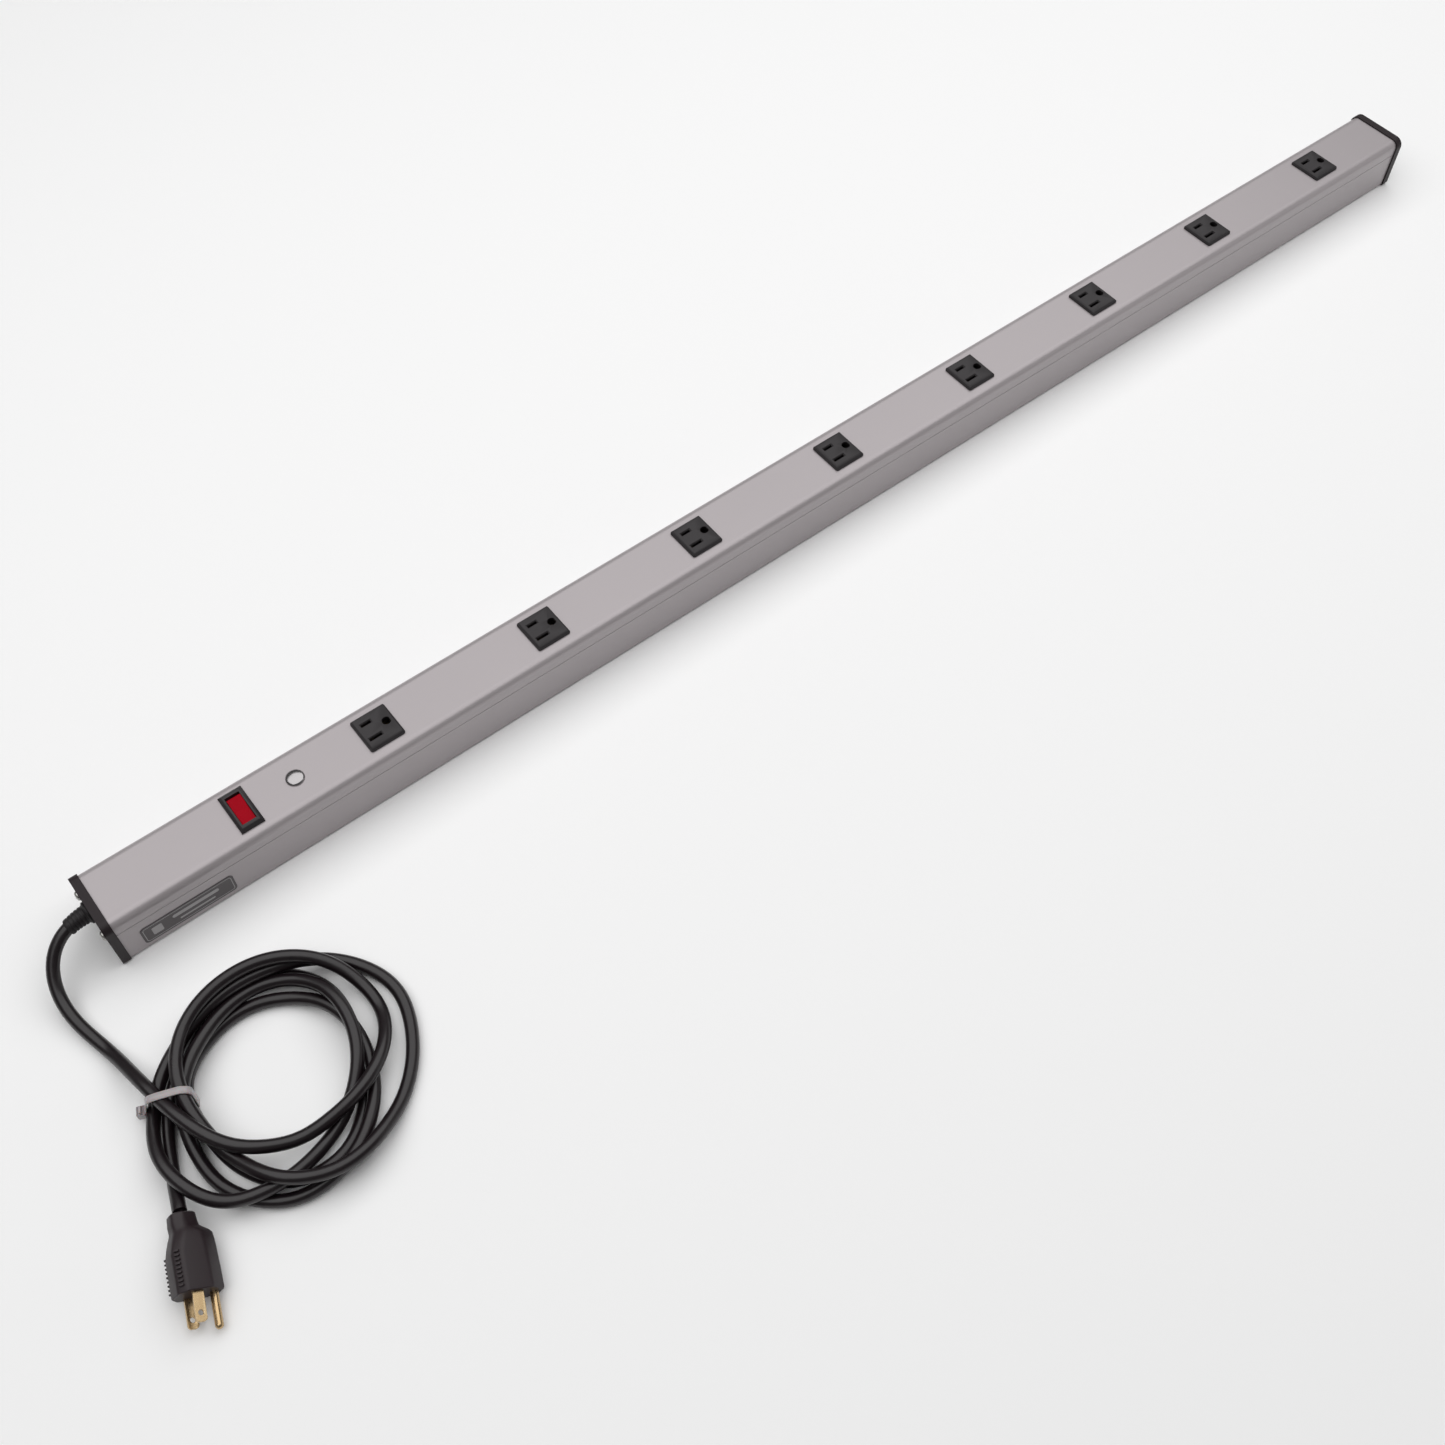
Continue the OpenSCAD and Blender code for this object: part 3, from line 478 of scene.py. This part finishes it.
def make_tie(line):
    """A nylon strap pulled tight round the six passes of the cord, with its head low on the outer side."""
    out = np.array([math.cos(TIE_ANGLE), math.sin(TIE_ANGLE)])
    along = np.array([-out[1], out[0]])
    rel = line[:, :2] - COIL
    ahead, side = rel @ along, rel @ out
    turn = np.linspace(0, 2 * math.pi, 48, endpoint=False)
    reach = CORD_D / 2 + STRAP_GAP
    cover = []
    for edge in (-STRAP_W / 2, 0, STRAP_W / 2):
        at = STRAP_AT + edge
        for i in range(len(line) - 1):
            if side[i] > 0 and ahead[i] < at <= ahead[i + 1]:
                cover += [(side[i] + reach * math.cos(a),
                           max(line[i, 2] + reach * math.sin(a), STRAP_T + STRAP_LIFT)) for a in turn]
    inner = hull_2d(cover)
    closed = np.vstack([inner, inner[:1]])
    far = run_length(closed)
    even = np.linspace(0, far[-1], 180, endpoint=False)
    loop = np.column_stack([np.interp(even, far, closed[:, k]) for k in (0, 1)])
    ahead_of, behind = np.roll(loop, -2, axis=0), np.roll(loop, 2, axis=0)
    normal = (ahead_of - behind)[:, ::-1] * [1, -1]
    normal /= np.linalg.norm(normal, axis=1)[:, None]
    middle = COIL + STRAP_AT * along
    place = Matrix.Scale(MM, 4) @ Matrix(((out[0], along[0], 0, middle[0]),
                                          (out[1], along[1], 0, middle[1]),
                                          (0, 0, 1, 0), (0, 0, 0, 1)))
    w, t, cut = STRAP_W / 2, STRAP_T, STRAP_CUT
    section = [(0, cut - w), (0, w - cut), (cut, w), (t - cut, w),
               (t, w - cut), (t, cut - w), (t - cut, -w), (cut, -w)]
    bm = bmesh.new()
    rings = [[bm.verts.new((p[0] + rise * n[0], y, p[1] + rise * n[1])) for rise, y in section]
             for p, n in zip(loop, normal)]
    for a, b in zip(rings, rings[1:] + rings[:1]):
        for k in range(len(section)):
            after = (k + 1) % len(section)
            bm.faces.new((a[k], a[after], b[after], b[k]))
    bmesh.ops.transform(bm, matrix=place, verts=bm.verts)
    strap = new_piece("tie_strap", mesh_from("tie_strap", bm, 50), "tie_nylon", "housing", NYLON,
                      "cable_tie")

    outer = loop[:, 0].max() + STRAP_T
    head = bmesh.new()
    bmesh.ops.create_cube(head, size=1)
    bmesh.ops.scale(head, vec=HEAD_SIZE, verts=head.verts)
    head.faces.ensure_lookup_table()
    mouth = max(head.faces, key=lambda f: f.calc_center_median().z)
    bmesh.ops.inset_region(head, faces=[mouth], thickness=MOUTH_RIM)
    bmesh.ops.translate(head, vec=(0, 0, -MOUTH_DEPTH), verts=mouth.verts)
    bevel_by_angle(head, HEAD_ROUND, 3)
    tail = bmesh.ops.create_cube(head, size=1)["verts"]
    bmesh.ops.scale(head, vec=(STRAP_T, STRAP_W - 0.4, TAIL_LENGTH), verts=tail)
    bmesh.ops.translate(head, vec=(0, 0, HEAD_SIZE[2] / 2), verts=tail)
    bmesh.ops.translate(head, vec=(outer + HEAD_SIZE[0] / 2 - 0.5, 0, HEAD_Z), verts=head.verts)
    bmesh.ops.transform(head, matrix=place, verts=head.verts)
    block = new_piece("tie_head", mesh_from("tie_head", head), "tie_nylon", "housing", NYLON)
    return [strap, block]


cord_points = cord_line()
strain_relief = make_strain_relief(cord_points)
tie_pieces = make_tie(cord_points)


# ---- plug ----

def plug_frame():
    """The plug's own frame: +X towards the blades, +Y towards the ground pin, Z across the blades."""
    mount = MOUNTS["plug"]
    forward = Vector(mount["axis"]).normalized()
    face = Vector(mount["pos_m"])
    low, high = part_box("plug_ground_pin")
    pin = (low + high) / 2
    across = pin - face
    across = (across - across.dot(forward) * forward).normalized()
    side = forward.cross(across)
    place = Matrix((forward, across, side)).transposed().to_4x4()
    return Matrix.Translation(face) @ place


PLUG = plug_frame()
# the ribs on both sides of the grip: how many, their size, lean, first place and pitch along the plug, and
# how far down and out they sit
RIB_COUNT = 9
RIB_SIZE = (1.1, 4.4, 3.0)
RIB_LEAN = 48
RIB_FIRST, RIB_PITCH = -23.2, 2.4
RIB_Y, RIB_Z = -8.0, 7.2


def plug_section(x, low, high, half_low, half_mid, half_high, roundness=2.4, steps=5):
    """One outline square to the plug's axis: flat-sided, widest in the middle, with round corners."""
    corners = [(low, -half_low), (low + 4.5, -half_mid), (high - 8.5, -half_mid), (high, -half_high),
               (high, half_high), (high - 8.5, half_mid), (low + 4.5, half_mid), (low, half_low)]
    points = []
    count = len(corners)
    for k, here in enumerate(corners):
        here = Vector(here)
        before, after = Vector(corners[k - 1]), Vector(corners[(k + 1) % count])
        cut = min(roundness, (before - here).length * 0.45, (after - here).length * 0.45)
        start, end = here + (before - here).normalized() * cut, here + (after - here).normalized() * cut
        for j in range(steps):
            t = j / (steps - 1)
            p = (1 - t) ** 2 * start + 2 * t * (1 - t) * here + t ** 2 * end
            points.append((x * MM, p.x * MM, p.y * MM))
    return points


def make_plug():
    """Moulded body: a square collar round the cord, a shouldered grip with ribs, and a flat face."""
    # x, lowest and highest y, half widths at the low side, the middle and the top, and corner rounding
    rows = [
        (-46, -6.6, 6.6, 3.6, 6.2, 3.6, 2.6), (-45.2, -7.4, 7.4, 4.2, 6.9, 4.2, 2.8),
        (-40, -7.7, 7.8, 4.6, 7.3, 4.6, 2.6), (-37.6, -7.5, 8.4, 4.6, 7.6, 4.6, 2.6),
        (-36.2, -7.3, 10.2, 4.6, 8.2, 4.6, 2.4), (-34.2, -7.6, 13.4, 4.8, 9.0, 4.7, 2.2),
        (-32.4, -8.3, 15.0, 5.0, 9.5, 4.7, 2.0), (-28, -9.6, 15.6, 5.3, 9.9, 4.7, 1.8),
        (-22, -10.9, 15.9, 5.5, 10.2, 4.7, 1.6), (-12, -10.7, 16.3, 5.5, 10.3, 4.7, 1.4),
        (-1.6, -10.6, 16.5, 5.5, 10.5, 4.7, 1.2), (-0.5, -10.5, 16.4, 5.4, 10.4, 4.6, 1.2),
        (0, -10.1, 16.0, 5.0, 10.0, 4.3, 1.2)]
    bm = loft([plug_section(*row) for row in rows], PLUG)
    shell = new_piece("plug_shell", mesh_from("plug_shell", bm, 28), "plug_rubber", "housing", PLUG_RUBBER,
                      "plug_body")
    ribs = bmesh.new()
    for k in range(RIB_COUNT):
        for s in (-1, 1):
            rib = bmesh.ops.create_cube(ribs, size=1)["verts"]
            bmesh.ops.scale(ribs, vec=RIB_SIZE, verts=rib)
            bmesh.ops.rotate(ribs, cent=(0, 0, 0), verts=rib,
                             matrix=Matrix.Rotation(-s * math.radians(RIB_LEAN), 3, "X"))
            bmesh.ops.translate(ribs, vec=(RIB_FIRST + RIB_PITCH * k, RIB_Y, s * RIB_Z), verts=rib)
    bevel_by_angle(ribs, 0.3, 2)
    bmesh.ops.transform(ribs, matrix=PLUG @ Matrix.Scale(MM, 4), verts=ribs.verts)
    grip = new_piece("plug_grip_ribs", mesh_from("plug_grip_ribs", ribs), "plug_rubber", "housing",
                     PLUG_RUBBER)
    return [shell, grip]


plug_pieces = make_plug()
blades = [refined(name, "plug_brass", PLUG_BRASS, 0.25 * MM)
          for name in ("hot_blade", "neutral_blade", "plug_ground_pin")]


# ---- housing ----

refined("top_cover", "satin_aluminium", ALUMINIUM, 0)
refined("base_channel", "satin_aluminium", ALUMINIUM, 0)
for cap in ("cord_end_cap", "far_end_cap"):
    refined(cap, "cap_plastic", CAP_PLASTIC, 0.5 * MM, 3)
refined("end_cap_screws", "plated_screws", SCREW_STEEL, 0.12 * MM)

for k in range(1, 9):
    refined(f"receptacle_{k}", "outlet_plastic", OUTLET_PLASTIC, 0.35 * MM)

refined("switch_housing", "switch_plastic", SWITCH_PLASTIC, 0.35 * MM, 3)
refined("rocker", "red_lens", RED_LENS, 0.3 * MM, 3, body="rocker")


def make_dome():
    """The chromed button that closes the round hole next to the switch."""
    low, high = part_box("hole_plug")
    centre = (low + high) / 2
    top = high.z
    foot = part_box("top_cover")[1].z
    rim = (high.x - low.x) / 2
    rise = top - foot
    steps = 14
    profile = [(0, foot - 0.4 * MM), (rim - 0.1 * MM, foot - 0.4 * MM), (rim, foot + 0.15 * MM)]
    for k in range(steps + 1):
        angle = math.radians(90 * k / steps)
        profile.append((rim * math.cos(angle) ** 0.85 if k < steps else 0,
                        foot + 0.3 * MM + (rise - 0.3 * MM) * math.sin(angle)))
    bm = lathe(profile, 64, Matrix.Translation((centre.x, centre.y, 0)))
    new_piece("dome_button", mesh_from("dome_button", bm, 60), "chrome_dome", "housing", CHROME,
              "hole_plug")


make_dome()


def rounded_plate(width, height, radius, depth, matrix, hole=None, steps=8):
    """A thin plate with round corners, or a frame of that outline if hole gives how wide its border is."""
    def outline(w, h, r):
        points = []
        for cx, cy, start in ((w / 2 - r, h / 2 - r, 0), (r - w / 2, h / 2 - r, 90),
                              (r - w / 2, r - h / 2, 180), (w / 2 - r, r - h / 2, 270)):
            for k in range(steps + 1):
                a = math.radians(start + 90 * k / steps)
                points.append((cx + r * math.cos(a), cy + r * math.sin(a)))
        return points
    outer = outline(width, height, radius)
    bm = bmesh.new()
    top = [bm.verts.new((x, y, depth)) for x, y in outer]
    bottom = [bm.verts.new((x, y, 0)) for x, y in outer]
    count = len(outer)
    if hole:
        inner = outline(width - 2 * hole, height - 2 * hole, max(radius - hole, 0.1))
        top_in = [bm.verts.new((x, y, depth)) for x, y in inner]
        bottom_in = [bm.verts.new((x, y, 0)) for x, y in inner]
    for k in range(count):
        after = (k + 1) % count
        bm.faces.new((bottom[k], bottom[after], top[after], top[k]))
        if hole:
            bm.faces.new((bottom_in[k], top_in[k], top_in[after], bottom_in[after]))
            bm.faces.new((top[k], top[after], top_in[after], top_in[k]))
            bm.faces.new((bottom[k], bottom_in[k], bottom_in[after], bottom[after]))
    if not hole:
        bm.faces.new(top)
        bm.faces.new(bottom[::-1])
    bmesh.ops.transform(bm, matrix=matrix, verts=bm.verts)
    return bm


def make_label():
    """A blank rating plate: a dark film with a fine border, a plain block and two bars instead of print."""
    low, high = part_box("label_plate")
    width, height = (high.x - low.x) / MM, (high.z - low.z) / MM
    face = Matrix.Translation(((low.x + high.x) / 2, high.y, (low.z + high.z) / 2)) @ \
        Matrix.Rotation(math.pi / 2, 4, "X") @ Matrix.Scale(MM, 4)
    film = rounded_plate(width, height, 3, 0.35, face)
    bevel_by_angle(film, 0.08 * MM, 1, 60)
    new_piece("label_film_plate", mesh_from("label_film_plate", film), "label_film", "housing", LABEL,
              "label_plate")
    lift = face @ Matrix.Translation((0, 0, 0.3))
    border = rounded_plate(width - 3, height - 3, 1.9, 0.1, lift, hole=0.45)
    new_piece("label_border", mesh_from("label_border", border), "label_film", "housing", LABEL_MARK)
    block = rounded_plate(7, height * 0.45, 1, 0.1, lift @ Matrix.Translation((-width * 0.34, 0, 0)))
    new_piece("label_block", mesh_from("label_block", block), "label_film", "housing", LABEL_MARK)
    for row, (bar, tall) in enumerate(((0.5, 3.2), (0.38, 1.6))):
        at = lift @ Matrix.Translation((width * 0.08, 2.4 - 5.6 * row, 0))
        bm = rounded_plate(width * bar, tall, tall / 2 - 0.05, 0.1, at)
        new_piece(f"label_bar_{row + 1}", mesh_from(f"label_bar_{row + 1}", bm), "label_film", "housing",
                  LABEL_MARK)


make_label()

# ---- pieces inside, seen only when it is opened ----

INSIDE = {
    "receptacle_backs": INNER_PLASTIC, "hot_bus": BRASS, "neutral_bus": BRASS, "ground_bus": BRASS,
    "insulating_liner": LINER, "plunger": WHITE_NYLON, "plunger_spring": SPRING, "indicator_lamp": LAMP,
    "contact_arm": BRASS, "switch_terminals": BRASS, "ground_screw": GREEN_METAL, "ground_lug": BRASS,
    "line_wire": BLACK_WIRE, "load_wire": BLACK_WIRE, "neutral_wire": WHITE_WIRE,
    "ground_wire": GREEN_WIRE, "ground_jumper": GREEN_WIRE,
}
for node, material in INSIDE.items():
    for slot in frame["nodes"][node].material_slots:
        slot.material = material


# ---- floor and light ----

def make_floor():
    size = 6
    bm = bmesh.new()
    bmesh.ops.create_grid(bm, x_segments=1, y_segments=1, size=size)
    mesh = bpy.data.meshes.new("floor")
    bm.to_mesh(mesh)
    bm.free()
    floor = bpy.data.objects.new("floor", mesh)
    bpy.context.scene.collection.objects.link(floor)
    material = bpy.data.materials.new("floor_white")
    material.use_nodes = True
    shader = material.node_tree.nodes["Principled BSDF"]
    shader.inputs["Base Color"].default_value = (0.98, 0.98, 0.98, 1)
    shader.inputs["Roughness"].default_value = 0.9
    mesh.materials.append(material)


def make_light(name, location, aim, energy, size):
    data = bpy.data.lights.new(name, "AREA")
    data.energy = energy
    data.shape = "RECTANGLE"
    data.size, data.size_y = size
    light = bpy.data.objects.new(name, data)
    bpy.context.scene.collection.objects.link(light)
    light.location = location
    light.rotation_euler = (Vector(aim) - Vector(location)).to_track_quat("-Z", "Y").to_euler()


make_floor()
make_light("softbox", (0.2, 0.3, 2.0), (0.2, 0.0, 0.0), 74, (5.0, 3.0))
make_light("front_fill", (2.0, -1.5, 0.8), (0.6, 0.0, 0.0), 2, (1.2, 0.8))

world = bpy.data.worlds.new("studio")
bpy.context.scene.world = world
world.use_nodes = True
world.node_tree.nodes["Background"].inputs["Color"].default_value = (1, 1, 1, 1)
world.node_tree.nodes["Background"].inputs["Strength"].default_value = 0.14
bpy.context.scene.view_settings.view_transform = "Standard"
